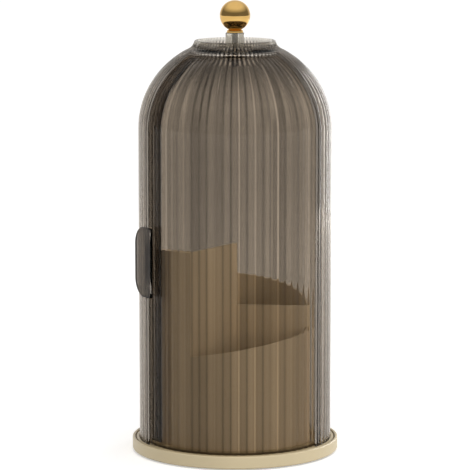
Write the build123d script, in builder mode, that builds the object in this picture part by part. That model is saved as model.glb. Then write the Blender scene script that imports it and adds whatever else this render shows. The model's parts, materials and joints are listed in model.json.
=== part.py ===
"""Round countertop holder for cosmetic brushes: a tiered cup on a ball-bearing turntable, under a ribbed
dome cover with a sliding front door. Millimetres, +Z up, origin at the middle of the face it stands on,
front towards -Y. Azimuths are in degrees from the front, growing towards +X."""

import os
from math import acos, cos, degrees, radians, sin, sqrt

from build123d import *

os.makedirs("parts", exist_ok=True)

# Base tray and feet
base_height = 10.0
base_lip = 2.2
base_floor = 2.2
base_edge_round = 1.4
lip_edge_round = 0.8
foot_radius = 6.0
foot_thickness = 2.0
foot_recess = 1.2
foot_circle = 60.0
foot_count = 6

# Ball bearing and pivot
ball_radius = 2.0
ball_play = 0.06
ball_circle = 48.0
ball_count = 12
cage_thickness = 1.6
cage_width = 8.0
cage_ball_play = 0.1
floor_to_disc = 3.4
hub_wall = 4.0
hub_gap = 0.3
pivot_radius = 5.0
pivot_play = 0.05
bush_wall = 1.4
pivot_washer_radius = 8.5
pivot_washer_thickness = 0.9
pivot_end_play = 0.1
washer_hole_play = 0.15
screw_radius = 1.5
screw_head_radius = 2.8
pivot_screw_head = 0.9
pivot_screw_length = 5.4
thread_fit = 0.02
hole_spare = 0.4

# Turntable disc
rim_gap = 0.6
disc_thickness = 2.2
disc_rim_width = 1.9
disc_rim_height = 0.8
channel_gap = 0.4
guide_height = 3.0
guide_wall = 1.8
guide_gap = 0.9

# Brush cup, which the turntable's rings, the covers and the base tray are built around
cup_radius = 57.5
cup_gap = 5.1
cup_wall = 2.0
cup_floor = 2.5
divider_wall = 2.0
tier_count = 3
tier_turn = 85.0
low_tier_top = 91.9
tier_step = 30.0
rim_slope = 10.2
cup_screw_circle = 24.0
cup_screw_head = 1.6
cup_screw_length = 7.5
boss_radius = 3.6
boss_height = 5.0

# Rear cover
cover_wall = 2.0
rib_depth = 0.6
rib_count = 72
crown_base = 236.3
crown_rise = 65.3
crown_sections = 9
door_way_left = -65.0
door_way_right = 58.5
neck_foot_radius = 34.6
neck_waist_radius = 31.4
neck_rim_radius = 29.3
neck_wall = 2.2
neck_waist_height = 2.6
neck_height = 6.5
dish_floor = 2.0
dish_depth = 6.0
ring_margin = 0.9

# Door
door_gap = 0.7
door_wall = 1.9
door_rib_depth = 0.5
door_overlap = 6.0
door_foot_gap = 0.5
door_hub_radius = 16.0
door_hub_thickness = 2.0
strip_right = -54.0
strip_thickness = 1.2
strip_foot_gap = 0.5
strip_top_gap = 1.0

# Finger tab on the door
tab_azimuth = -61.0
tab_middle = 142.8
tab_height = 50.5
tab_tip_reach = 17.5
tab_root_reach = 5.5
tab_thickness = 2.0
tab_corner = 13.0
tab_root_corner = 2.0
tab_cover_gap = 0.6
tab_web_offset = 2.5
tab_web_thickness = 2.4

# Knob, and the spindle the door turns on
knob_radius = 11.1
knob_neck_radius = 5.95
knob_neck_land = 1.4
knob_flare = 0.7
knob_waist_radius = 4.6
collar_radius = 6.9
collar_height = 11.5
collar_edge = 0.5
stud_radius = 2.0
stud_play = 0.15
stud_in_knob = 9.0
stud_below_nut = 1.6
thrust_washer_radius = 11.0
thrust_washer_thickness = 0.6
hub_bush_radius = 4.0
hub_bush_play = 0.06
hub_bush_flange_radius = 8.0
hub_bush_flange = 1.0
door_end_play = 0.2
clamp_washer_radius = 5.0
clamp_washer_thickness = 0.8
nut_across_flats = 7.0
nut_height = 3.4
nut_insert_height = 1.4
nut_insert_radius = 3.0

# Levels that follow from the sizes above
tray_under = foot_thickness - foot_recess
tray_floor = tray_under + base_floor
disc_under = tray_floor + floor_to_disc
disc_top = disc_under + disc_thickness
ball_level = (tray_floor + disc_under) / 2
cup_inner = cup_radius - cup_wall
guide_radius = cup_radius + cup_gap + guide_wall
door_inner = guide_radius + guide_gap
door_radius = door_inner + door_wall
cover_inner = door_radius + door_gap
cover_radius = cover_inner + cover_wall
channel_radius = cover_radius + channel_gap
disc_radius = channel_radius + disc_rim_width
base_radius = disc_radius + rim_gap + base_lip
pivot_washer_under = tray_under + pivot_end_play + pivot_screw_head
pivot_tip = pivot_washer_under + pivot_washer_thickness
hub_under = pivot_tip + pivot_end_play
hub_top = disc_under - hub_gap
bush_radius = pivot_radius + pivot_play + bush_wall


def crown_level(radius, equator, rise):
    """Height of an elliptical crown above the bottom at a radius from the axis."""
    return crown_base + rise * sqrt(1 - (radius / equator) ** 2)


neck_foot = crown_level(neck_foot_radius, cover_radius, crown_rise)
neck_rim = neck_foot + neck_height
dish_top = neck_rim - dish_depth
dish_under = dish_top - dish_floor
door_hub_top = dish_under - thrust_washer_thickness - door_end_play / 2
door_hub_under = door_hub_top - door_hub_thickness
bush_flange_top = door_hub_under - door_end_play / 2
bush_flange_under = bush_flange_top - hub_bush_flange
nut_top = bush_flange_under - clamp_washer_thickness
collar_top = dish_top + collar_height
knob_waist = collar_top + knob_neck_land + knob_flare
knob_middle = knob_waist + sqrt(knob_radius**2 - knob_waist_radius**2)
stud_under = nut_top - nut_height - nut_insert_height - stud_below_nut
door_foot = disc_top + door_foot_gap
door_rise = crown_rise - cover_wall - door_gap
door_inner_rise = door_rise - door_wall
door_left = door_way_left - door_overlap
door_right = door_way_right + door_overlap
door_top_radius = door_radius * sqrt(1 - ((door_hub_top - crown_base) / door_rise) ** 2)
strip_foot = disc_top + guide_height + strip_foot_gap
strip_top = door_hub_under - strip_top_gap
tab_under_face = cover_radius + tab_cover_gap
tier_span = 360 / tier_count
first_middle = tier_turn - tier_span / 2


def at(radius, azimuth):
    """Point on the ground plan at a radius and an azimuth from the front."""
    return (radius * sin(radians(azimuth)), -radius * cos(radians(azimuth)))


def sector(radius, start, end, mode=Mode.ADD):
    """Pie slice on the ground plan between two azimuths."""
    with BuildLine() as slice_edge:
        Line((0, 0), at(radius, start))
        ThreePointArc(at(radius, start), at(radius, (start + end) / 2), at(radius, end))
        Line(at(radius, end), (0, 0))
    make_face(slice_edge.edges(), mode=mode)


def ribbed_outline(crest_radius, depth):
    """Closed ring of shallow round ribs, with a crest at the front."""
    pitch = 360 / rib_count
    root_radius = crest_radius - depth
    with BuildLine() as ribs:
        for rib in range(rib_count):
            crest = rib * pitch
            ThreePointArc(
                at(root_radius, crest - pitch / 2),
                at(crest_radius, crest),
                at(root_radius, crest + pitch / 2),
            )
    make_face(ribs.edges())


def ribbed_dome(foot, equator, rise, top_radius, depth):
    """Solid ribbed drum with an elliptical crown, whose ribs narrow with the radius."""
    with BuildSketch(Plane.XY.offset(foot)) as foot_plan:
        ribbed_outline(equator, depth)
    extrude(foot_plan.sketch, amount=crown_base - foot)
    last_turn = degrees(acos(top_radius / equator))
    plans = []
    for section in range(crown_sections):
        turn = radians(last_turn * section / (crown_sections - 1))
        with BuildSketch(Plane.XY.offset(crown_base + rise * sin(turn))) as plan:
            ribbed_outline(equator * cos(turn), depth * cos(turn))
        plans.append(plan.sketch)
    loft(plans)


def smooth_dome(foot, equator, rise, ceiling, mode=Mode.SUBTRACT):
    """Smooth drum with an elliptical crown that ends in a flat ceiling, mostly the space in a shell."""
    ceiling_radius = equator * sqrt(1 - ((ceiling - crown_base) / rise) ** 2)
    crown_turn = degrees(acos(ceiling_radius / equator))
    with BuildSketch(Plane.XZ) as half:
        with BuildLine():
            Line((0, foot), (equator, foot))
            Line((equator, foot), (equator, crown_base))
            EllipticalCenterArc((0, crown_base), equator, rise, arc_size=crown_turn)
            Line((ceiling_radius, ceiling), (0, ceiling))
            Line((0, ceiling), (0, foot))
        make_face()
    revolve(half.sketch, axis=Axis.Z, mode=mode)


def ring(under, thickness, outer, inner=0.0, mode=Mode.ADD):
    """Flat ring or disc standing on a level."""
    with BuildSketch(Plane.XY.offset(under)) as plan:
        Circle(outer)
        if inner:
            Circle(inner, mode=Mode.SUBTRACT)
    extrude(plan.sketch, amount=thickness, mode=mode)


def ball_track():
    """Round groove that the bearing balls run in."""
    with BuildSketch(Plane.XZ) as groove:
        with Locations((ball_circle, ball_level)):
            Circle(ball_radius + ball_play)
    revolve(groove.sketch, axis=Axis.Z, mode=Mode.SUBTRACT)


def round_holes(under, depth, radius, places):
    """Round holes cut upwards from a level."""
    with BuildSketch(Plane.XY.offset(under)) as plan:
        with Locations(*places):
            Circle(radius)
    extrude(plan.sketch, amount=depth, mode=Mode.SUBTRACT)


def screws(head_under, head_height, length, places):
    """Cross-head screws driven upwards, with the head below."""
    slot_long = screw_head_radius
    slot_wide = screw_head_radius / 4
    with BuildSketch(Plane.XY.offset(head_under)) as heads:
        with Locations(*places):
            Circle(screw_head_radius)
    extrude(heads.sketch, amount=head_height)
    with BuildSketch(Plane.XY.offset(head_under + head_height)) as shanks:
        with Locations(*places):
            Circle(screw_radius)
    extrude(shanks.sketch, amount=length)
    with BuildSketch(Plane.XY.offset(head_under)) as slots:
        with Locations(*places):
            Rectangle(slot_long, slot_wide)
            Rectangle(slot_wide, slot_long)
    extrude(slots.sketch, amount=head_height / 2, mode=Mode.SUBTRACT)


foot_places = [at(foot_circle, 360 * foot / foot_count) for foot in range(foot_count)]
ball_places = [at(ball_circle, 360 * ball / ball_count) for ball in range(ball_count)]
cup_screw_places = [at(cup_screw_circle, first_middle + tier_span * tier) for tier in range(tier_count)]

# Base tray: a shallow dish with a lip, feet below and the bearing hub in its middle
with BuildPart() as base_tray:
    ring(tray_under, base_height - tray_under, base_radius)
    fillet(base_tray.edges().filter_by(GeomType.CIRCLE).sort_by(Axis.Z)[0], base_edge_round)
    ring(tray_floor, base_height - tray_floor, base_radius - base_lip, mode=Mode.SUBTRACT)
    fillet(base_tray.edges().filter_by(GeomType.CIRCLE).sort_by(Axis.Z)[-2:], lip_edge_round)
    ring(tray_floor, hub_top - tray_floor, bush_radius + hub_wall)
    ring(tray_under, hub_under - tray_under, pivot_washer_radius + hole_spare, mode=Mode.SUBTRACT)
    ring(hub_under, hub_top - hub_under, bush_radius, mode=Mode.SUBTRACT)
    round_holes(tray_under, foot_recess, foot_radius, foot_places)
    ball_track()
base_tray.part.label = "base_tray"

# Soft pads in the recesses below the tray
with BuildPart() as foot_pads:
    with BuildSketch():
        with Locations(*foot_places):
            Circle(foot_radius)
    extrude(amount=foot_thickness)
foot_pads.part.label = "foot_pads"

# Bush in the tray's hub
with BuildPart() as pivot_bush:
    ring(hub_under, hub_top - hub_under, bush_radius, pivot_radius + pivot_play)
pivot_bush.part.label = "pivot_bush"

# Steel balls, spaced by their cage
with BuildPart() as bearing_balls:
    with Locations(*[(x, y, ball_level) for x, y in ball_places]):
        Sphere(ball_radius)
bearing_balls.part.label = "bearing_balls"

with BuildPart() as ball_cage:
    cage_under = ball_level - cage_thickness / 2
    ring(cage_under, cage_thickness, ball_circle + cage_width / 2, ball_circle - cage_width / 2)
    round_holes(cage_under, cage_thickness, ball_radius + cage_ball_play, ball_places)
ball_cage.part.label = "ball_cage"

# Turntable disc: rim and guide wall make the channel the covers stand in, the pivot hangs below
with BuildPart() as turntable_disc:
    ring(disc_under, disc_thickness, disc_radius)
    ring(disc_top, disc_rim_height, disc_radius, channel_radius)
    ring(disc_top, guide_height, guide_radius, guide_radius - guide_wall)
    ring(pivot_tip, disc_under - pivot_tip, pivot_radius)
    ball_track()
    pivot_hole = pivot_screw_length - pivot_washer_thickness + hole_spare
    round_holes(pivot_tip, pivot_hole, screw_radius + thread_fit, [(0, 0)])
    round_holes(disc_under, disc_thickness, screw_radius + washer_hole_play, cup_screw_places)
turntable_disc.part.label = "turntable_disc"

# Washer and screw that keep the pivot in its bush
with BuildPart() as pivot_washer:
    ring(
        pivot_washer_under,
        pivot_washer_thickness,
        pivot_washer_radius,
        screw_radius + washer_hole_play,
    )
pivot_washer.part.label = "pivot_washer"

with BuildPart() as pivot_screw:
    screws(pivot_washer_under - pivot_screw_head, pivot_screw_head, pivot_screw_length, [(0, 0)])
pivot_screw.part.label = "pivot_screw"

# Brush cup: three compartments, whose rims climb round the cup in three slanted steps
with BuildPart() as brush_cup:
    ring(disc_top, cup_floor, cup_radius)
    for tier in range(tier_count):
        tier_end = tier_turn + tier_span * tier
        tier_top = low_tier_top + tier_step * tier
        with BuildSketch(Plane.XY.offset(disc_top)):
            Circle(cup_radius)
            Circle(cup_inner, mode=Mode.SUBTRACT)
            sector(2 * cup_radius, tier_end - tier_span, tier_end, mode=Mode.INTERSECT)
        wall = extrude(amount=tier_top - disc_top, mode=Mode.PRIVATE)
        uphill_x, uphill_y = at(rim_slope / cup_radius, tier_end)
        slant = Plane(origin=(0, 0, tier_top - rim_slope), z_dir=(-uphill_x, -uphill_y, 1))
        add(split(wall, bisect_by=slant, keep=Keep.BOTTOM, mode=Mode.PRIVATE))
    for tier in range(tier_count):
        tier_end = tier_turn + tier_span * tier
        tier_top = low_tier_top + tier_step * tier
        next_top = low_tier_top + tier_step * ((tier + 1) % tier_count)
        next_low = next_top - rim_slope * (1 - cos(radians(tier_span)))
        with BuildSketch(Plane.XY.offset(disc_top)):
            with Locations(Rotation(0, 0, tier_end - 90)):
                Rectangle(cup_radius, divider_wall, align=(Align.MIN, Align.CENTER))
            Circle(cup_radius, mode=Mode.INTERSECT)
        extrude(amount=max(tier_top, next_low) - disc_top)
    with BuildSketch(Plane.XY.offset(disc_top)):
        with Locations(*cup_screw_places):
            Circle(boss_radius)
    extrude(amount=cup_floor + boss_height)
    cup_screw_hole = cup_screw_length - disc_thickness + hole_spare
    round_holes(disc_top, cup_screw_hole, screw_radius + thread_fit, cup_screw_places)
brush_cup.part.label = "brush_cup"

with BuildPart() as cup_screws:
    screws(disc_under - cup_screw_head, cup_screw_head, cup_screw_length, cup_screw_places)
cup_screws.part.label = "cup_screws"

# Rear cover: ribbed dome with the door way cut out, and a recessed dish inside its neck
with BuildPart() as rear_cover:
    ribbed_dome(disc_top, cover_radius, crown_rise, neck_foot_radius, rib_depth)
    for level, radius in (
        (neck_foot, neck_foot_radius),
        (neck_foot + neck_waist_height, neck_waist_radius),
        (neck_rim, neck_rim_radius),
    ):
        with BuildSketch(Plane.XY.offset(level)):
            ribbed_outline(radius, rib_depth * radius / cover_radius)
    loft()
    smooth_dome(disc_top, cover_inner, crown_rise - cover_wall, dish_under)
    with BuildSketch(Plane.XZ):
        with BuildLine():
            Polyline(
                (0, dish_top),
                (neck_waist_radius - neck_wall, dish_top),
                (neck_rim_radius - neck_wall, neck_rim),
                (0, neck_rim),
                close=True,
            )
        make_face()
    revolve(axis=Axis.Z, mode=Mode.SUBTRACT)
    with BuildSketch(Plane.XY.offset(disc_top)):
        sector(2 * cover_radius, door_way_left, door_way_right)
        Circle(neck_foot_radius + ring_margin, mode=Mode.SUBTRACT)
    extrude(amount=neck_rim - disc_top, mode=Mode.SUBTRACT)
    round_holes(dish_under, dish_floor, stud_radius + stud_play, [(0, 0)])
rear_cover.part.label = "rear_cover"

# Door: the same ribbed form one gap inside the rear cover, hung on a hub below the dish
with BuildPart() as door_panel:
    ribbed_dome(door_foot, door_radius, door_rise, door_top_radius, door_rib_depth)
    smooth_dome(door_foot, door_inner, door_inner_rise, door_hub_under)
    with BuildSketch(Plane.XY.offset(door_foot)):
        sector(2 * door_radius, door_left, door_right)
        Circle(door_hub_radius)
    extrude(amount=door_hub_top - door_foot, mode=Mode.INTERSECT)
    round_holes(door_hub_under, door_hub_thickness, hub_bush_radius + hub_bush_play, [(0, 0)])
door_panel.part.label = "door_panel"

# Door strip: a second layer bonded inside the door's left margin, from above the guide wall to the hub
with BuildPart() as door_strip:
    smooth_dome(strip_foot, door_inner, door_inner_rise, strip_top, mode=Mode.ADD)
    smooth_dome(strip_foot, door_inner - strip_thickness, door_inner_rise - strip_thickness, strip_top)
    with BuildSketch(Plane.XY.offset(strip_foot)):
        sector(2 * door_radius, door_left, strip_right)
    extrude(amount=strip_top - strip_foot, mode=Mode.INTERSECT)
door_strip.part.label = "door_strip"

# Finger tab: a flat plate over the rear cover's edge, on a web that joins it to the door
tab_out_x, tab_out_y = at(1, tab_azimuth)
tab_origin = (tab_under_face * tab_out_x, tab_under_face * tab_out_y, tab_middle)
tab_plane = Plane(origin=tab_origin, x_dir=(tab_out_y, -tab_out_x, 0), z_dir=(tab_out_x, tab_out_y, 0))
with BuildPart() as finger_tab:
    with BuildSketch(tab_plane) as tab_outline:
        with Locations(((tab_tip_reach - tab_root_reach) / 2, 0)):
            Rectangle(tab_tip_reach + tab_root_reach, tab_height)
        fillet(tab_outline.vertices().sort_by(Axis.X)[-2:], tab_corner)
        fillet(tab_outline.vertices().sort_by(Axis.X)[:2], tab_root_corner)
    extrude(amount=tab_thickness)
    with BuildSketch(tab_plane):
        with Locations((tab_web_offset, 0)):
            Rectangle(tab_web_thickness, tab_height - 2 * tab_corner)
    extrude(amount=door_radius - door_rib_depth - tab_under_face)
    add(door_panel.part, mode=Mode.SUBTRACT)
finger_tab.part.label = "finger_tab"

# Knob: a plated ball with a flared neck, on a clear collar that stands in the dish
with BuildPart() as knob_ball:
    with BuildSketch(Plane.XZ):
        with BuildLine():
            Line((0, collar_top), (knob_neck_radius, collar_top))
            Line((knob_neck_radius, collar_top), (knob_neck_radius, collar_top + knob_neck_land))
            Line((knob_neck_radius, collar_top + knob_neck_land), (knob_waist_radius, knob_waist))
            ThreePointArc(
                (knob_waist_radius, knob_waist),
                (knob_radius, knob_middle),
                (0, knob_middle + knob_radius),
            )
            Line((0, knob_middle + knob_radius), (0, collar_top))
        make_face()
    revolve(axis=Axis.Z)
    round_holes(collar_top, stud_in_knob + hole_spare, stud_radius + thread_fit, [(0, 0)])
knob_ball.part.label = "knob_ball"

with BuildPart() as knob_collar:
    ring(dish_top, collar_height, collar_radius, stud_radius + stud_play)
    collar_rims = knob_collar.edges().filter_by(GeomType.CIRCLE).filter_by(
        lambda edge: edge.radius > collar_radius - collar_edge
    )
    chamfer(collar_rims, collar_edge)
knob_collar.part.label = "knob_collar"

# Stud that ties the knob, the dish and the door's bush together
with BuildPart() as knob_stud:
    ring(stud_under, collar_top + stud_in_knob - stud_under, stud_radius)
knob_stud.part.label = "knob_stud"

with BuildPart() as thrust_washer:
    ring(
        dish_under - thrust_washer_thickness,
        thrust_washer_thickness,
        thrust_washer_radius,
        hub_bush_radius + hub_bush_play,
    )
thrust_washer.part.label = "thrust_washer"

with BuildPart() as hub_bush:
    ring(bush_flange_top, dish_under - bush_flange_top, hub_bush_radius, stud_radius + stud_play)
    ring(bush_flange_under, hub_bush_flange, hub_bush_flange_radius, stud_radius + stud_play)
hub_bush.part.label = "hub_bush"

with BuildPart() as clamp_washer:
    ring(nut_top, clamp_washer_thickness, clamp_washer_radius, stud_radius + stud_play)
clamp_washer.part.label = "clamp_washer"

with BuildPart() as lock_nut:
    with BuildSketch(Plane.XY.offset(nut_top - nut_height)):
        RegularPolygon(nut_across_flats / 2, side_count=6, major_radius=False)
    extrude(amount=nut_height)
    ring(nut_top - nut_height - nut_insert_height, nut_insert_height, nut_insert_radius)
    nut_bore = nut_height + nut_insert_height
    round_holes(nut_top - nut_bore, nut_bore, stud_radius + thread_fit, [(0, 0)])
lock_nut.part.label = "lock_nut"

pieces = [
    base_tray,
    foot_pads,
    pivot_bush,
    bearing_balls,
    ball_cage,
    turntable_disc,
    pivot_washer,
    pivot_screw,
    brush_cup,
    cup_screws,
    rear_cover,
    door_panel,
    door_strip,
    finger_tab,
    knob_ball,
    knob_collar,
    knob_stud,
    thrust_washer,
    hub_bush,
    clamp_washer,
    lock_nut,
]
for piece in pieces:
    export_step(piece.part, f"parts/{piece.part.label}.step")
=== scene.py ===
import json
from math import asin, atan2, cos, degrees, pi, radians, sin, sqrt

import bpy
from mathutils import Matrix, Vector

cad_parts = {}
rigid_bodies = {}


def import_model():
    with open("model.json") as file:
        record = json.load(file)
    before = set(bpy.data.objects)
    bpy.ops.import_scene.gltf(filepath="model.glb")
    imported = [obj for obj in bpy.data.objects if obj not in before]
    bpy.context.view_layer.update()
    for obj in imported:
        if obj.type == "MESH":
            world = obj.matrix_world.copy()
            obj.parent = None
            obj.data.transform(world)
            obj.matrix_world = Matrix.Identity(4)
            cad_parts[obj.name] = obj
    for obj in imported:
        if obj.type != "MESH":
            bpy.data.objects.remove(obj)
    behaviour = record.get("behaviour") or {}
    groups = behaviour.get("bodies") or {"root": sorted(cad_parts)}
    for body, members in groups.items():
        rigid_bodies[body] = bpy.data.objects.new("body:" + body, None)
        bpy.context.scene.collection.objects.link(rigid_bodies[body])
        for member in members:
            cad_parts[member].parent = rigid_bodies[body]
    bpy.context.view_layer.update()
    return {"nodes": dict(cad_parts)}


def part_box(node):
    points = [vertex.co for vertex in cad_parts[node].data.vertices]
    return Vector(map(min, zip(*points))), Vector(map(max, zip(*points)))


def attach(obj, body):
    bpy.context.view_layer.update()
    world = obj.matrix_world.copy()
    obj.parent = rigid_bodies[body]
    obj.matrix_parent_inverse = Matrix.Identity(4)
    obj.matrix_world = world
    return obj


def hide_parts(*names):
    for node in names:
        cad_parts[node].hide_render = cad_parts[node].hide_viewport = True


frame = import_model()
nodes = frame["nodes"]
collection = bpy.context.scene.collection


# All lengths are metres. Azimuths are degrees from the front (-Y), growing towards +X.

def onPlan(radius, azimuth):
    turn = radians(azimuth)
    return radius * sin(turn), -radius * cos(turn)


def nodeRadius(name):  # outer radius of a round CAD node that stands on the axis
    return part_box(name)[1].x


def nodeReach(name):  # how far a CAD node reaches from the axis, seen from above
    return max(sqrt(v.co.x ** 2 + v.co.y ** 2) for v in nodes[name].data.vertices)


ribs = {
    "count": 72, "samples": 12, "valley": 0.82,  # samples is mesh steps in one rib
    "outside": 0.00055, "inside": 0.00034,  # groove depths of a shell's two faces
    "neckRadius": 0.030, "neckShare": 1.5, "crownRows": 44, "wallRows": 14,
    "edgeLayers": 5, "edgeTaper": 4,  # rounding of the upright cuts, growing over edgeTaper rows
}


# Node helpers

def addNode(tree, kind, **settings):
    node = tree.nodes.new(kind)
    for key, value in settings.items():
        if key in node.inputs:
            node.inputs[key].default_value = value
        else:
            setattr(node, key, value)
    return node


def calculate(tree, operation, *values):  # one Math node, fed by sockets and plain numbers
    node = addNode(tree, "ShaderNodeMath", operation=operation)
    for socket, value in zip(node.inputs, values):
        if isinstance(value, (int, float)):
            socket.default_value = value
        else:
            tree.links.new(value, socket)
    return node.outputs["Value"]


def combine(tree, operation, first, *others):  # the same sum, product or maximum over several values
    for other in others:
        first = calculate(tree, operation, first, other)
    return first


def coordinates(tree, space="Object"):  # X, Y and Z of the place that is being painted
    place = addNode(tree, "ShaderNodeTexCoord")
    parts = addNode(tree, "ShaderNodeSeparateXYZ")
    tree.links.new(place.outputs[space], parts.inputs["Vector"])
    return [parts.outputs[axis] for axis in "XYZ"]


def objectNoise(tree, scale, detail=3, stretch=(1, 1, 1)):
    place = addNode(tree, "ShaderNodeTexCoord")
    spread = addNode(tree, "ShaderNodeMapping", Scale=stretch)
    noise = addNode(tree, "ShaderNodeTexNoise", Scale=scale, Detail=detail)
    tree.links.new(place.outputs["Object"], spread.inputs["Vector"])
    tree.links.new(spread.outputs["Vector"], noise.inputs["Vector"])
    return noise.outputs["Fac"]


def ramp(tree, source, low, high, start=0.3, end=0.7):  # low at start, high at end, held outside
    node = addNode(tree, "ShaderNodeMapRange")
    node.inputs["From Min"].default_value = start
    node.inputs["From Max"].default_value = end
    node.inputs["To Min"].default_value = low
    node.inputs["To Max"].default_value = high
    tree.links.new(source, node.inputs["Value"])
    return node.outputs["Result"]


def tint(tree, share, dark, light):  # from dark to light; each is three numbers or a socket
    node = addNode(tree, "ShaderNodeMix", data_type="RGBA")
    for key, colour in (("A", dark), ("B", light)):
        if isinstance(colour, tuple):
            node.inputs[key].default_value = (*colour, 1)
        else:
            tree.links.new(colour, node.inputs[key])
    tree.links.new(share, node.inputs["Factor"])
    return node.outputs["Result"]


def pickShader(tree, share, first, second):
    node = addNode(tree, "ShaderNodeMixShader")
    tree.links.new(share, node.inputs["Fac"])
    tree.links.new(first, node.inputs[1])
    tree.links.new(second, node.inputs[2])
    return node.outputs["Shader"]


def bump(tree, shader, height, distance):
    node = addNode(tree, "ShaderNodeBump", Strength=1.0, Distance=distance)
    tree.links.new(height, node.inputs["Height"])
    tree.links.new(node.outputs["Normal"], shader.inputs["Normal"])


# Materials

def newMaterial(name):
    material = bpy.data.materials.new(name)
    material.use_nodes = True
    return material, material.node_tree, material.node_tree.nodes["Principled BSDF"]


def setRoughness(tree, shader, source, look):  # smoother and rougher patches
    smoothest, roughest = look["roughness"]
    tree.links.new(ramp(tree, source, smoothest, roughest), shader.inputs["Roughness"])


def moulded(name, dark, light, look):  # solid moulded plastic or rubber, with a fine skin
    material, tree, shader = newMaterial(name)
    clouds = objectNoise(tree, look["cloudScale"])
    grain = objectNoise(tree, look["grainScale"], detail=2)
    tree.links.new(tint(tree, clouds, dark, light), shader.inputs["Base Color"])
    setRoughness(tree, shader, clouds, look)
    bump(tree, shader, grain, look["grainDepth"])
    shader.inputs["IOR"].default_value = look["ior"]
    return material


def clearPlastic(name, dark, colour, look, paint=None):  # see-through, tinted where light crosses it
    material, tree, shader = newMaterial(name)
    flow = objectNoise(tree, look["flowScale"], detail=2, stretch=look["flowStretch"])
    tinted = paint(tree, dark, colour, look) if paint else tint(tree, flow, dark, colour)
    tree.links.new(tinted, shader.inputs["Base Color"])
    setRoughness(tree, shader, flow, look)
    bump(tree, shader, flow, look["flowDepth"])
    shader.inputs["IOR"].default_value = look["ior"]
    shader.inputs["Transmission Weight"].default_value = 1.0
    inShadow = addNode(tree, "ShaderNodeLightPath").outputs["Is Shadow Ray"]
    shadow = addNode(tree, "ShaderNodeBsdfTransparent", Color=(*[sqrt(c) for c in colour], 1))
    picked = pickShader(tree, inShadow, shader.outputs["BSDF"], shadow.outputs["BSDF"])
    tree.links.new(picked, tree.nodes["Material Output"].inputs["Surface"])
    return material


def metal(name, dark, light, look):  # plated or bare metal, with faint wipe marks
    material, tree, shader = newMaterial(name)
    wipe = objectNoise(tree, look["wipeScale"], detail=4, stretch=look["wipeStretch"])
    tree.links.new(tint(tree, wipe, dark, light), shader.inputs["Base Color"])
    setRoughness(tree, shader, wipe, look)
    bump(tree, shader, wipe, look["wipeDepth"])
    shader.inputs["Metallic"].default_value = 1.0
    return material


finishes = {
    "creamDark": (0.465, 0.387, 0.243), "creamLight": (0.525, 0.442, 0.287),
    # the cup tones are the base's cream plastic painted lighter: painted light
    "cupDark": (0.67, 0.58, 0.43), "cupLight": (0.74, 0.645, 0.485),
    "smokeDark": (0.10, 0.088, 0.076), "smokeLight": (0.73, 0.66, 0.575),
    "bandDark": (0.05, 0.042, 0.034), "bandLight": (0.60, 0.53, 0.455),
    "tabDark": (0.02, 0.017, 0.014), "tabLight": (0.27, 0.24, 0.21),
    "clearDark": (0.53, 0.51, 0.47), "clearLight": (0.63, 0.61, 0.56),
    "goldDark": (0.60, 0.36, 0.10), "goldLight": (0.78, 0.51, 0.19),
    "nylonDark": (0.72, 0.71, 0.67), "nylonLight": (0.80, 0.79, 0.75),
    "steelDark": (0.50, 0.50, 0.51), "steelLight": (0.64, 0.64, 0.65),
    "rubberDark": (0.05, 0.05, 0.05), "rubberLight": (0.075, 0.075, 0.075),
}
satin = {
    "roughness": (0.357, 0.483), "ior": 1.5,
    "cloudScale": 22, "grainScale": 900, "grainDepth": 0.0000012,
}
soft = {
    "roughness": (0.68, 0.92), "ior": 1.45,
    "cloudScale": 60, "grainScale": 1500, "grainDepth": 0.00001,
}
glossy = {
    "roughness": (0.018, 0.042), "ior": 1.49,
    "flowScale": 26, "flowStretch": (1, 1, 0.15), "flowDepth": 0.000002,
}
mild = {**glossy, "ior": 1.15}  # the weak gloss of the thin smoky shells
plate = {"roughness": (0.042, 0.105), "wipeScale": 90, "wipeStretch": (1, 1, 2), "wipeDepth": 0.000004}
turned = {"roughness": (0.156, 0.39), "wipeScale": 300, "wipeStretch": (1, 1, 4), "wipeDepth": 0.00001}

cream = moulded("creamPlastic", finishes["creamDark"], finishes["creamLight"], satin)
# painted light: the cup is the base's cream plastic, painted lighter to make up for the light that the
# smoky shells take from it
cupLitCream = moulded("cupLitCream", finishes["cupDark"], finishes["cupLight"], satin)
clear = clearPlastic("clearAcrylic", finishes["clearDark"], finishes["clearLight"], glossy)
gold = metal("goldPlate", finishes["goldDark"], finishes["goldLight"], plate)
nylon = moulded("whiteNylon", finishes["nylonDark"], finishes["nylonLight"], satin)
steel = metal("steel", finishes["steelDark"], finishes["steelLight"], turned)
rubber = moulded("padRubber", finishes["rubberDark"], finishes["rubberLight"], soft)
print("plain materials ready:", len(bpy.data.materials))


# Smoky ribbed plastic: what the ribs do to light is painted over the whole shell.
# Tones run from 0, the shell's dark colour, to 1, its light one. Starts and ends are levels above
# the floor, but edgeStart and edgeEnd are degrees away from a panel's upright edge.

ribbed = {
    **mild, "toneLow": 0.37, "toneHigh": 0.54, "grooveEdge": -0.60, "ribWave": 0.04,
    "lineLow": -0.16, "lineHigh": 0.70, "lineRarity": 2.2,
    "crownLight": 0.52, "crownStart": 0.258, "crownEnd": 0.282,
    "neckLines": 2.2, "neckStart": 0.240, "neckEnd": 0.290,
    "footLight": 0.95, "footStart": 0.050, "footEnd": 0.160,
    "teeth": 0.9, "teethStart": 0.2840, "teethEnd": 0.2975, "teethFade": 0.0020,
    "edgeTone": 0.10, "edgeStart": 0.7, "edgeEnd": 1.4, "footLine": 0.0012, "footFade": 0.00072,
    "rimColour": (0.78, 0.75, 0.69), "rimStart": 0.2950, "rimEnd": 0.2992,
}


def ownTone(tree, number, low, high, rarity=1):  # a fixed tone for each whole number
    noise = addNode(tree, "ShaderNodeTexWhiteNoise", noise_dimensions="1D")
    tree.links.new(number, noise.inputs["W"])
    return ramp(tree, calculate(tree, "POWER", noise.outputs["Value"], rarity), low, high, 0, 1)


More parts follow.
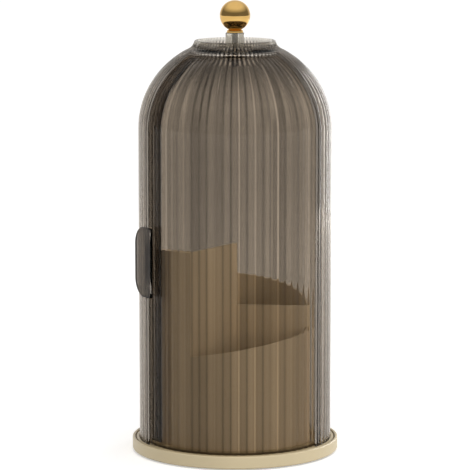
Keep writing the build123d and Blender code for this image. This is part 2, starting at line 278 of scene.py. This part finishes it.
def ribStreaks(tree, turn, wave, level, look):  # painted light and shade: a tone for every rib, shading across each rib and thin lines in some grooves
    ribTurn = calculate(tree, "MULTIPLY", turn, ribs["count"] / (2 * pi))
    tone = ownTone(tree, calculate(tree, "ROUND", ribTurn), look["toneLow"], look["toneHigh"])
    lineNumber = calculate(tree, "FLOOR", ribTurn)
    lineTone = ownTone(tree, lineNumber, look["lineLow"], look["lineHigh"], look["lineRarity"])
    groove = ramp(tree, wave, 1, 0, -1, look["grooveEdge"])
    stronger = ramp(tree, level, 1, look["neckLines"], look["neckStart"], look["neckEnd"])
    lines = combine(tree, "MULTIPLY", groove, lineTone, stronger)
    waves = combine(tree, "MULTIPLY", wave, look["ribWave"], stronger)
    return combine(tree, "ADD", tone, lines, waves)


def neckTeeth(tree, wave, level, look):  # painted light: short light teeth in a ring round the neck
    start, end, fade = look["teethStart"], look["teethEnd"], look["teethFade"]
    rise = ramp(tree, level, 0, look["teeth"], start, start + fade)
    fall = ramp(tree, level, 1, 0, end - fade, end)
    return combine(tree, "MULTIPLY", rise, fall, wave)


def footShade(tree, level, look):  # painted shade: a thin dark line along the lower edge, where the shell meets the base
    start = look["footLevel"] + look["footLine"]
    return ramp(tree, level, look["edgeTone"], 1, start, start + look["footFade"])


def edgeShade(tree, azimuth, look):  # painted shade: darker along a panel's two upright edges
    start, end = radians(look["edgeStart"]), radians(look["edgeEnd"])
    shades = []
    for edge in look["edges"]:
        away = calculate(tree, "ABSOLUTE", calculate(tree, "SUBTRACT", azimuth, radians(edge)))
        shades.append(ramp(tree, away, look["edgeTone"], 1, start, end))
    return combine(tree, "MULTIPLY", *shades)


def ribTint(tree, dark, light, look):
    x, y, level = coordinates(tree)
    turn = calculate(tree, "ARCTAN2", y, x)
    wave = calculate(tree, "COSINE", calculate(tree, "MULTIPLY", turn, ribs["count"]))
    # painted light and shade over the crown, set by crownLight; the tone also grows darker towards the foot
    crown = ramp(tree, level, 1, look["crownLight"], look["crownStart"], look["crownEnd"])
    foot = ramp(tree, level, look["footLight"], 1, look["footStart"], look["footEnd"])
    amount = combine(tree, "MULTIPLY", ribStreaks(tree, turn, wave, level, look), crown, foot)
    amount = calculate(tree, "ADD", amount, neckTeeth(tree, wave, level, look))
    amount = calculate(tree, "MULTIPLY", amount, footShade(tree, level, look))
    if "edges" in look:
        azimuth = calculate(tree, "ARCTAN2", x, calculate(tree, "MULTIPLY", y, -1))
        amount = calculate(tree, "MULTIPLY", amount, edgeShade(tree, azimuth, look))
    # painted light: the lip round the top of the neck is tinted pale with rimColour
    rim = ramp(tree, level, 0, 1, look["rimStart"], look["rimEnd"])
    return tint(tree, rim, tint(tree, amount, dark, light), look["rimColour"])


# Mesh helpers

smoothBelow = {"turned": 40, "ribbed": 60}  # degrees; sharper corners stay crisp


def finishPiece(name, points, faces, smoothAngle, material, body, node):
    mesh = bpy.data.meshes.new(name)
    mesh.from_pydata(points, [], faces)
    mesh.validate()
    piece = bpy.data.objects.new(name, mesh)
    collection.objects.link(piece)
    mesh.materials.append(material)
    mesh.shade_smooth()
    mesh.set_sharp_from_angle(angle=radians(smoothAngle))
    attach(piece, body)
    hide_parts(node)


def lathe(name, outline, segments, material, body, node):
    points, faces = [], []  # outline is a closed loop of (radius, level), none on the axis
    count = len(outline)
    for step in range(segments):
        azimuth = 360 * step / segments
        points += [(*onPlan(radius, azimuth), level) for radius, level in outline]
        here, there = step * count, (step + 1) % segments * count
        for i in range(count):
            j = (i + 1) % count
            faces.append((here + i, there + i, there + j, here + j))
    finishPiece(name, points, faces, smoothBelow["turned"], material, body, node)


def arc(middle, radii, start, end, steps):  # points on an ellipse, angles from +radius towards up
    turns = [radians(start + (end - start) * step / steps) for step in range(steps + 1)]
    return [(middle[0] + radii[0] * cos(turn), middle[1] + radii[1] * sin(turn)) for turn in turns]


def line(start, end, steps):  # evenly spaced points, both ends included
    return [(start[0] + (end[0] - start[0]) * step / steps,
             start[1] + (end[1] - start[1]) * step / steps) for step in range(steps + 1)]


def ribDepth(azimuth):  # 0 on a rib's crest, 1 in the groove between two ribs
    across = abs(((azimuth * ribs["count"] / 360 + 0.5) % 1) * 2 - 1)
    edge = ribs["valley"]
    if across < edge:
        return across * across
    inside = (across - edge) / (1 - edge)
    slope = 2 * edge * (1 - edge)
    return edge * edge + slope * (inside - inside * inside / 2)


def ribShare(radius, equator):  # ribs stand deeper at the neck and fade out towards the axis
    neck, most = ribs["neckRadius"], ribs["neckShare"]
    if radius < neck:
        return most * (radius / neck) ** 3
    return 1 + (most - 1) * max(0, equator - radius) / (equator - neck)


def shellColumn(points, profile, depth, equator, azimuth):  # adds one upright row of points
    first = len(points)
    for radius, level in profile:
        ribbedRadius = radius - depth * ribDepth(azimuth) * ribShare(radius, equator)
        points.append((*onPlan(ribbedRadius, azimuth), level))
    return list(range(first, len(points)))


def bridge(here, there, side=1):  # faces between two rows of points; side -1 turns them over
    return [(here[i], here[i + 1], there[i + 1], there[i])[::side] for i in range(len(here) - 1)]


def roundEdge(points, outerEdge, innerEdge, bulge, way, tapered):  # half-round along an upright cut
    rounds = [outerEdge]
    for layer in range(1, ribs["edgeLayers"]):
        swing = pi * layer / ribs["edgeLayers"]
        between = []
        for row, (outer, inner) in enumerate(zip(outerEdge, innerEdge)):
            a, b = Vector(points[outer]), Vector(points[inner])
            along = Vector((-(a.y + b.y), a.x + b.x, 0)).normalized() * way
            share = min(1, max(0, (row - 1) / ribs["edgeTaper"])) if tapered else 1
            outwards = along * bulge * sin(swing) * share
            between.append(len(points))
            points.append(tuple((a + b) / 2 + (a - b) / 2 * cos(swing) + outwards))
        rounds.append(between)
    rounds.append(innerEdge)
    faces = [[near[-1] for near in rounds][::-way]]
    if not tapered:
        faces.append([near[0] for near in rounds][::way])
    for near, far in zip(rounds, rounds[1:]):
        faces += bridge(near, far, way)
    return faces


def shell(name, outside, inside, ringRows, span, equator, bulge, material, body, node, slot):
    # outside and inside run from the middle hole, or the wall's top where ringRows is 0, to the foot;
    # the first ringRows rows go all the way round, the rest only between the two azimuths of span
    whole = ribs["count"] * ribs["samples"]
    first, last = [round(azimuth * whole / 360) for azimuth in span]
    points, faces, outer, inner = [], [], [], []
    for step in range(whole):
        azimuth = 360 * step / whole
        rows = len(outside) if (step - first) % whole <= last - first else ringRows
        outer.append(shellColumn(points, outside[:rows], ribs["outside"], equator, azimuth))
        inner.append(shellColumn(points, inside[:rows], ribs["inside"], equator, azimuth))
    for step in range(whole):
        after = (step + 1) % whole
        rows = min(len(outer[step]), len(outer[after]))
        if rows:
            outHere, outAfter = outer[step][:rows], outer[after][:rows]
            inHere, inAfter = inner[step][:rows], inner[after][:rows]
            faces += bridge(outHere, outAfter) + bridge(inHere, inAfter, -1)
            faces.append((outHere[0], outAfter[0], inAfter[0], inHere[0]))
            faces.append((outHere[-1], inHere[-1], inAfter[-1], outAfter[-1]))
    edgeTop = max(0, ringRows - 1)
    for step, way in ((first % whole, -1), (last % whole, 1)):
        faces += roundEdge(points, outer[step][edgeTop:], inner[step][edgeTop:], bulge, way, ringRows > 0)
    finishPiece(name, points, faces, smoothBelow["ribbed"], material, body, node)


# Rear cover

cover = {
    "wall": 0.0020, "crownBase": 0.2363, "crownRise": 0.0653, "footRound": 0.0005,
    "neckFoot": 0.0346, "neckWaist": 0.0314, "neckRim": 0.0293, "neckWall": 0.0022,
    "waistHeight": 0.0026, "neckHeight": 0.0065, "rimRound": 0.0010,
    "neckPull": 0.030929, "neckBlend": 0.0016, "neckSteps": 9,
    "dishDepth": 0.0060, "dishFloor": 0.0020, "dishCorner": 0.0010, "dishWallStart": 0.0013,
    "studHole": 0.00215, "ringMargin": 0.0009, "edgeRound": 0.0005,
    "wayLeft": -65.0, "wayRight": 58.5,  # the open front lies between these azimuths
}
coverLook = {
    **ribbed, "toneLow": 0.44, "toneHigh": 0.64,
    "edges": (cover["wayLeft"], cover["wayRight"]), "footLevel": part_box("rear_cover")[0].z,
}
coverSmoke = clearPlastic("coverPlastic", finishes["smokeDark"], finishes["smokeLight"], coverLook, ribTint)


def crownPoint(radius, equator, rise):
    return radius, cover["crownBase"] + rise * sqrt(1 - (radius / equator) ** 2)


def crownRadius(level, equator, rise):  # how wide the crown is at a level
    return equator * sqrt(1 - ((level - cover["crownBase"]) / rise) ** 2)


def wallRowsBelow(joinRadius, equator, rise, foot, inward):
    # from the join down the crown and the straight wall to a rounded foot
    joinTurn = degrees(asin(sqrt(1 - (joinRadius / equator) ** 2)))
    rounding = cover["footRound"]
    rows = arc((0, cover["crownBase"]), (equator, rise), joinTurn, 0, ribs["crownRows"])[1:]
    rows += line((equator, cover["crownBase"]), (equator, foot + rounding), ribs["wallRows"])[1:-1]
    middle = (equator - inward * rounding, foot + rounding)
    rows += arc(middle, (inward * rounding, rounding), 0, -90, steps=3)
    return rows


def dishAndLip(rim, dishTop):  # from the stud's hole over the dish, up the neck and over its lip
    lip, corner = cover["rimRound"], cover["dishCorner"]
    innerRim = cover["neckRim"] - cover["neckWall"]
    innerFoot = cover["neckWaist"] - cover["neckWall"]
    rows = line((cover["studHole"], dishTop), (innerFoot - corner, dishTop), steps=8)[:-1]
    rows += arc((innerFoot - corner, dishTop + corner), (corner, corner), -90, 0, steps=4)
    rows += line((innerFoot, dishTop + cover["dishWallStart"]), (innerRim, rim - lip), steps=5)[:-1]
    rows += arc((innerRim + lip, rim - lip), (lip, lip), 180, 90, steps=4)
    rows += arc((cover["neckRim"] - lip, rim - lip), (lip, lip), 90, 0, steps=4)
    return rows


def hollowNeck(rim, join):  # hollow curve from the lip in to the waist and out to the crown
    start = (cover["neckRim"], rim - cover["rimRound"])
    waistLevel = rim - cover["neckHeight"] + cover["waistHeight"]
    pull = (cover["neckPull"], waistLevel - cover["neckBlend"])
    rows = []
    for step in range(1, cover["neckSteps"] + 1):
        t = step / cover["neckSteps"]
        u = 1 - t
        rows.append(tuple(u * u * start[i] + 2 * t * u * pull[i] + t * t * join[i] for i in (0, 1)))
    return rows


def buildRearCover():
    equator, rise = nodeRadius("rear_cover"), cover["crownRise"]
    innerEquator, innerRise = equator - cover["wall"], rise - cover["wall"]
    foot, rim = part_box("rear_cover")[0].z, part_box("rear_cover")[1].z
    dishTop = rim - cover["dishDepth"]
    dishUnder = dishTop - cover["dishFloor"]
    join = cover["neckFoot"] + cover["ringMargin"]
    ceiling = crownRadius(dishUnder, innerEquator, innerRise)

    outside = dishAndLip(rim, dishTop) + hollowNeck(rim, crownPoint(join, equator, rise))
    ringRows = len(outside)
    inside = line((cover["studHole"], dishUnder), (ceiling, dishUnder), ringRows - 3)  # rows match outside
    inside += [crownPoint(radius, innerEquator, innerRise) for radius in ((ceiling + join) / 2, join)]
    outside += wallRowsBelow(join, equator, rise, foot, 1)
    inside += wallRowsBelow(join, innerEquator, innerRise, foot, -1)
    span = (cover["wayRight"], 360 + cover["wayLeft"])
    shell("rearCover", outside, inside, ringRows, span, equator, cover["edgeRound"],
          coverSmoke, "cover", "rear_cover", "smoke_clear")


# Front door

door = {
    "wall": 0.0019, "gap": 0.0007, "hubRadius": 0.016, "hubHole": 0.00406,
    "hubThickness": 0.0020, "left": -71.0, "right": 64.5, "edgeRound": 0.0006,
}
doorLook = {
    **ribbed, "toneLow": 0.35, "toneHigh": 0.51,
    "edges": (door["left"], door["right"]), "footLevel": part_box("door_panel")[0].z,
}
doorSmoke = clearPlastic("doorPlastic", finishes["smokeDark"], finishes["smokeLight"], doorLook, ribTint)


def doorShape():  # the door's outer equator and rise, just inside the cover
    inset = cover["wall"] + door["gap"]
    return nodeRadius("rear_cover") - inset, cover["crownRise"] - inset


def doorRows(level, equator, rise, foot, inward):  # flat hub and ceiling, then the crown and the wall
    shoulder = crownRadius(level, equator, rise)
    hub = line((door["hubHole"], level), (door["hubRadius"], level), steps=4)
    ceiling = line((door["hubRadius"], level), (shoulder, level), steps=5)[1:]
    return len(hub), hub + ceiling + wallRowsBelow(shoulder, equator, rise, foot, inward)


def buildDoor():
    equator, rise = doorShape()
    foot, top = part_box("door_panel")[0].z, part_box("door_panel")[1].z
    ringRows, outside = doorRows(top, equator, rise, foot, 1)
    under = top - door["hubThickness"]
    inside = doorRows(under, equator - door["wall"], rise - door["wall"], foot, -1)[1]
    shell("frontDoor", outside, inside, ringRows, (door["left"], door["right"]), equator, door["edgeRound"],
          doorSmoke, "door", "door_panel", "smoke_clear")


# Strip inside the door's left margin

strip = {"gap": 0.00005, "thickness": 0.0012, "left": -70.8, "right": -54.2, "edgeRound": 0.0003}
# painted shade: the strip is a real extra layer inside the door, but its tint is far darker than the
# shells' and its crown tone lighter, to paint the dark band along the door's left edge
bandLook = {
    **ribbed, "toneLow": 0.02, "toneHigh": 0.12, "lineLow": -0.06, "lineHigh": 0.28,
    "crownLight": 5, "crownStart": 0.262, "crownEnd": 0.288, "footLight": 0.4,
    "footLevel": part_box("door_strip")[0].z,
}
bandSmoke = clearPlastic("bandPlastic", finishes["bandDark"], finishes["bandLight"], bandLook, ribTint)


def buildDoorStrip():
    behind, rise = [size - door["wall"] for size in doorShape()]
    foot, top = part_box("door_strip")[0].z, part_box("door_strip")[1].z
    sides = []
    for depth, inward in ((strip["gap"], 1), (strip["thickness"], -1)):
        join = crownRadius(top, behind - depth, rise - depth)
        sides.append([(join, top)] + wallRowsBelow(join, behind - depth, rise - depth, foot, inward))
    shell("doorStrip", *sides, 0, (strip["left"], strip["right"]), behind, strip["edgeRound"],
          bandSmoke, "door", "door_strip", "smoke_clear")


buildRearCover()
buildDoor()
buildDoorStrip()
print("shells built")


# Finger tab, which keeps its CAD mesh

tabLook = {
    **mild, "node": "finger_tab", "reach": nodeReach("finger_tab"),
    "edgeWidth": 0.0012, "edgeFade": 0.0006,
}


def rimTint(tree, dark, light, look):  # a flat piece of thick plastic, with painted shade: darker round its edge
    x, y, level = coordinates(tree)
    low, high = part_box(look["node"])
    fromMiddle = calculate(tree, "ABSOLUTE", calculate(tree, "SUBTRACT", level, (low.z + high.z) / 2))
    squares = [calculate(tree, "MULTIPLY", across, across) for across in (x, y)]
    radius = calculate(tree, "SQRT", calculate(tree, "ADD", *squares))
    shades = []
    for away, limit in ((fromMiddle, (high.z - low.z) / 2), (radius, look["reach"])):
        start = limit - look["edgeWidth"]
        shades.append(ramp(tree, away, 1, 0, start, start + look["edgeFade"]))
    return tint(tree, combine(tree, "MULTIPLY", *shades), dark, light)


tabSmoke = clearPlastic("tabPlastic", finishes["tabDark"], finishes["tabLight"], tabLook, rimTint)


# Ball knob

knob = {
    "neckRadius": 0.00595, "neckEdge": 0.0002, "neckTurn": 70, "land": 0.0014, "flare": 0.0007,
    "waistRadius": 0.0046, "waistEase": 0.0003, "waistDrop": 0.0002, "hole": 0.00202, "holeDepth": 0.0094,
    "topTurn": 89, "axisGap": 0.00001, "steps": 40, "segments": 128,
}


def buildKnob():
    low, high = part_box("knob_ball")
    foot, radius = low.z, high.x
    middle = high.z - radius
    edge, edgeMiddle = knob["neckEdge"], knob["neckRadius"] - knob["neckEdge"]
    waist = foot + knob["land"] + knob["flare"]
    start = degrees(atan2(waist - middle, knob["waistRadius"]))
    holeTop = foot + knob["holeDepth"]
    outline = [(knob["hole"], foot)]
    outline += arc((edgeMiddle, foot + edge), (edge, edge), -90, 0, steps=3)
    outline += arc((edgeMiddle, foot + knob["land"] - edge), (edge, edge), 0, knob["neckTurn"], steps=3)
    outline += [(knob["waistRadius"] + knob["waistEase"], waist - knob["waistDrop"])]
    outline += arc((0, middle), (radius, radius), start, knob["topTurn"], knob["steps"])
    outline += [(knob["axisGap"], high.z), (knob["axisGap"], holeTop), (knob["hole"], holeTop)]
    lathe("knobBall", outline, knob["segments"], gold, "cover", "knob_ball")


# Clear collar under the knob

collar = {"edge": 0.0005, "hole": 0.00215, "segments": 96}


def buildCollar():
    low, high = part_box("knob_collar")
    edge = collar["edge"]
    outline = [(collar["hole"], low.z)]
    outline += arc((high.x - edge, low.z + edge), (edge, edge), -90, 0, steps=4)
    outline += arc((high.x - edge, high.z - edge), (edge, edge), 0, 90, steps=4)
    outline += [(collar["hole"], high.z)]
    lathe("knobCollar", outline, collar["segments"], clear, "cover", "knob_collar")


buildKnob()
buildCollar()
print("knob built")


# Pieces that keep their CAD mesh

carried = {
    "base_tray": cream, "foot_pads": rubber, "pivot_bush": nylon, "bearing_balls": steel,
    "ball_cage": nylon, "turntable_disc": cream, "pivot_washer": steel, "pivot_screw": steel,
    "brush_cup": cupLitCream, "cup_screws": steel, "finger_tab": tabSmoke, "knob_stud": steel,
    "thrust_washer": nylon, "hub_bush": nylon, "clamp_washer": steel, "lock_nut": steel,
}
for name, material in carried.items():
    slots = nodes[name].material_slots
    if not slots:
        nodes[name].data.materials.append(material)
    for entry in slots:
        entry.material = material
print("CAD pieces coloured:", len(carried))


# Floor

stage = {
    "floorSize": 12.0, "floorColour": (0.86, 0.86, 0.86), "floorRoughness": 0.9,
    "liftNear": 0.46, "liftFar": 0.62, "nearEnd": 0.30, "farStart": 2.40,  # the lift grows between these
}


def seenDirectly(tree):  # 1 for what the camera sees, also in gloss and through clear plastic
    path = addNode(tree, "ShaderNodeLightPath")
    return combine(tree, "MAXIMUM", path.outputs["Is Camera Ray"], path.outputs["Is Glossy Ray"],
                   path.outputs["Is Transmission Ray"])


def floorPaper():  # lifted to white where it is seen, and more so far off, where the lamps don't reach
    material, tree, shader = newMaterial("floorPaper")
    shader.inputs["Base Color"].default_value = (*stage["floorColour"], 1)
    shader.inputs["Roughness"].default_value = stage["floorRoughness"]
    place = addNode(tree, "ShaderNodeTexCoord")
    away = addNode(tree, "ShaderNodeVectorMath", operation="LENGTH")
    tree.links.new(place.outputs["Object"], away.inputs[0])
    lift = ramp(tree, away.outputs["Value"], stage["liftNear"], stage["liftFar"],
                stage["nearEnd"], stage["farStart"])
    glow = addNode(tree, "ShaderNodeEmission")
    tree.links.new(lift, glow.inputs["Strength"])
    lifted = addNode(tree, "ShaderNodeAddShader")
    tree.links.new(shader.outputs["BSDF"], lifted.inputs[0])
    tree.links.new(glow.outputs["Emission"], lifted.inputs[1])
    picked = pickShader(tree, seenDirectly(tree), shader.outputs["BSDF"], lifted.outputs["Shader"])
    tree.links.new(picked, tree.nodes["Material Output"].inputs["Surface"])
    return material


def buildFloor():
    half = stage["floorSize"] / 2
    corners = [(-half, -half, 0), (half, -half, 0), (half, half, 0), (-half, half, 0)]
    mesh = bpy.data.meshes.new("floor")
    mesh.from_pydata(corners, [], [(0, 1, 2, 3)])
    mesh.materials.append(floorPaper())
    floor = bpy.data.objects.new("floor", mesh)
    collection.objects.link(floor)


# Room

room = {
    "lightColour": (1.0, 0.98, 0.95), "lightStrength": 0.5,
    "front": 0.22, "start": 0.45, "end": 0.85, "ceilingStart": 0.35, "ceilingEnd": 0.8,
}


def roomTone(tree):  # white backdrop and ceiling; gloss also meets the dimmer room in front
    y, level = coordinates(tree, "Generated")[1:]
    back = ramp(tree, y, room["front"], 1, room["start"], room["end"])
    above = ramp(tree, level, room["front"], 1, room["ceilingStart"], room["ceilingEnd"])
    path = addNode(tree, "ShaderNodeLightPath")
    notGloss = calculate(tree, "SUBTRACT", 1, path.outputs["Is Glossy Ray"])
    return combine(tree, "MAXIMUM", back, above, notGloss,
                   path.outputs["Is Transmission Ray"], path.outputs["Is Camera Ray"])


def buildWorld():
    world = bpy.data.worlds.new("studio")
    bpy.context.scene.world = world
    world.use_nodes = True
    tree = world.node_tree
    plain = tree.nodes["Background"]
    plain.inputs["Color"].default_value = (*room["lightColour"], 1)
    plain.inputs["Strength"].default_value = room["lightStrength"]
    white = addNode(tree, "ShaderNodeBackground")
    tree.links.new(roomTone(tree), white.inputs["Color"])
    picked = pickShader(tree, seenDirectly(tree), plain.outputs["Background"], white.outputs["Background"])
    tree.links.new(picked, tree.nodes["World Output"].inputs["Surface"])


# Lamps. A mirrored one also shows in glossy pieces; leaves is the one piece that a lamp doesn't light.

lamps = {
    "overhead": {"place": (0.1, -0.3, 1.3), "aim": (0, 0, 0.1), "size": (1.0, 0.8), "power": 6},
    "rightWindow": {
        "place": (0.75, 1.0, 0.35), "aim": (0, 0, 0.18), "size": (0.30, 0.9), "power": 5.5,
        "mirrored": True, "leaves": "knobBall",
    },
    "rightFill": {
        "place": (1.3, -0.9, 0.55), "aim": (0, 0, 0.15), "size": (0.8, 0.8), "power": 18, "leaves": "floor",
    },
    "leftFill": {
        "place": (-1.2, -0.9, 0.5), "aim": (0, 0, 0.15), "size": (0.8, 0.8), "power": 8, "leaves": "floor",
    },
}


def keepOff(lamp, piece):
    spared = bpy.data.collections.new(lamp.name + "Spared")
    spared.objects.link(piece)
    lamp.light_linking.receiver_collection = spared
    spared.collection_objects[0].light_linking.link_state = "EXCLUDE"


def buildLamp(name, setting):
    data = bpy.data.lights.new(name, "AREA")
    data.shape = "RECTANGLE"
    data.size, data.size_y = setting["size"]
    data.energy = setting["power"]
    lamp = bpy.data.objects.new(name, data)
    lamp.location = setting["place"]
    towards = Vector(setting["aim"]) - Vector(setting["place"])
    lamp.rotation_euler = towards.to_track_quat("-Z", "Y").to_euler()
    lamp.visible_camera = False
    lamp.visible_glossy = setting.get("mirrored", False)
    lamp.visible_transmission = False
    collection.objects.link(lamp)
    if "leaves" in setting:
        keepOff(lamp, bpy.data.objects[setting["leaves"]])


# Camera

camera = {"sensor": 36, "lens": 220.4, "place": (0, -2.067, 0.4656), "tilt": 81.53}


def buildCamera():
    data = bpy.data.cameras.new("photoView")
    data.sensor_width = camera["sensor"]
    data.lens = camera["lens"]
    viewer = bpy.data.objects.new("photoView", data)
    viewer.location = camera["place"]
    viewer.rotation_euler = (radians(camera["tilt"]), 0, 0)
    collection.objects.link(viewer)
    bpy.context.scene.camera = viewer


buildFloor()
buildWorld()
for name, setting in lamps.items():
    buildLamp(name, setting)
buildCamera()
bpy.context.scene.view_settings.view_transform = "Standard"
print("stage lit")
